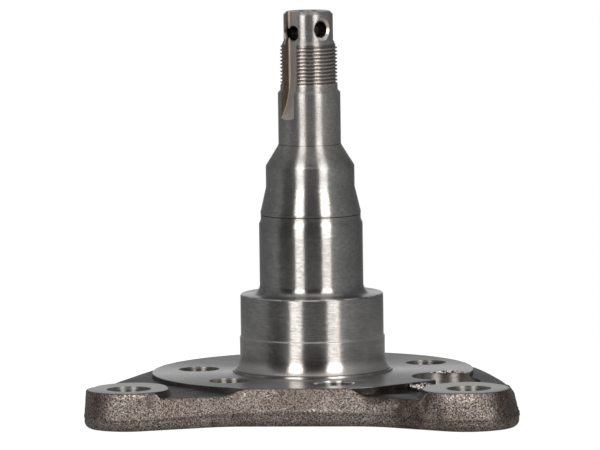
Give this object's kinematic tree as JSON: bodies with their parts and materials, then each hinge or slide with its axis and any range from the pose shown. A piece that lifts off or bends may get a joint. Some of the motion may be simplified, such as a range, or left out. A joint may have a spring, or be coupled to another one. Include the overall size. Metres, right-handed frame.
{
  "type": "stub axle",
  "caption": "Forged steel flange plate with lugs, carrying a stepped spindle with bearing seats, a threaded end, a keyway and cotter pin holes.",
  "frame": {"origin": "spindle axis at the flat back face of the plate", "axes": "+Z along the spindle towards the threaded end; the lugs stand on the -Y side, one each side of X = 0"},
  "size_m": [0.1197, 0.1071, 0.1113],
  "materials": {
    "steel": "turned and ground steel on the spindle and disc, shot-blasted forging skin on the plate's walls"
  },
  "bodies": {
    "root": {"stub_axle": "steel"}
  },
  "joints": []
}
